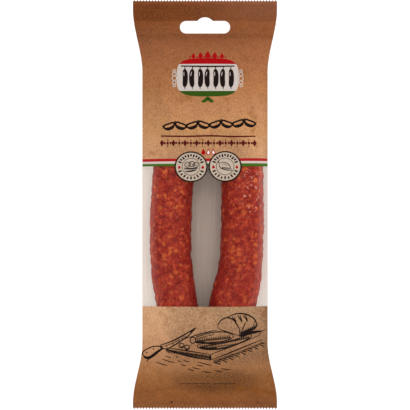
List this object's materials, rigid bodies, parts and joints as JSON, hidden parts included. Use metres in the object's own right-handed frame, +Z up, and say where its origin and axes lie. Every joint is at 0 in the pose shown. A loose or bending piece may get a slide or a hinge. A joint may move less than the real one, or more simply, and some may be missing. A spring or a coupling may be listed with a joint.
{
  "type": "cured sausage in a windowed flow-wrap pack",
  "caption": "Bent dry-cured sausage lying in a flow-wrapped film pack with a clear window, crimped end seals and a peg slot in its header.",
  "frame": {"origin": "on the surface the pack lies on, under the middle of the pack's length and width", "axes": "+X across the pack, +Y along it towards the header with the peg slot, +Z up out of the window side"},
  "size_m": [0.0916, 0.26, 0.0293],
  "materials": {
    "sausage_casing": "satin",
    "clip_aluminium": "satin",
    "printed_film": "matte",
    "clear_film": "gloss"
  },
  "bodies": {
    "root": {"sausage": "sausage_casing", "left_end_clip": "clip_aluminium", "right_end_clip": "clip_aluminium", "upper_wrap": "printed_film", "window_film": "clear_film", "lower_wrap": "printed_film", "back_wrap": "printed_film", "back_fin_seal": "printed_film", "header_seal": "printed_film", "bottom_seal": "printed_film"}
  },
  "joints": []
}
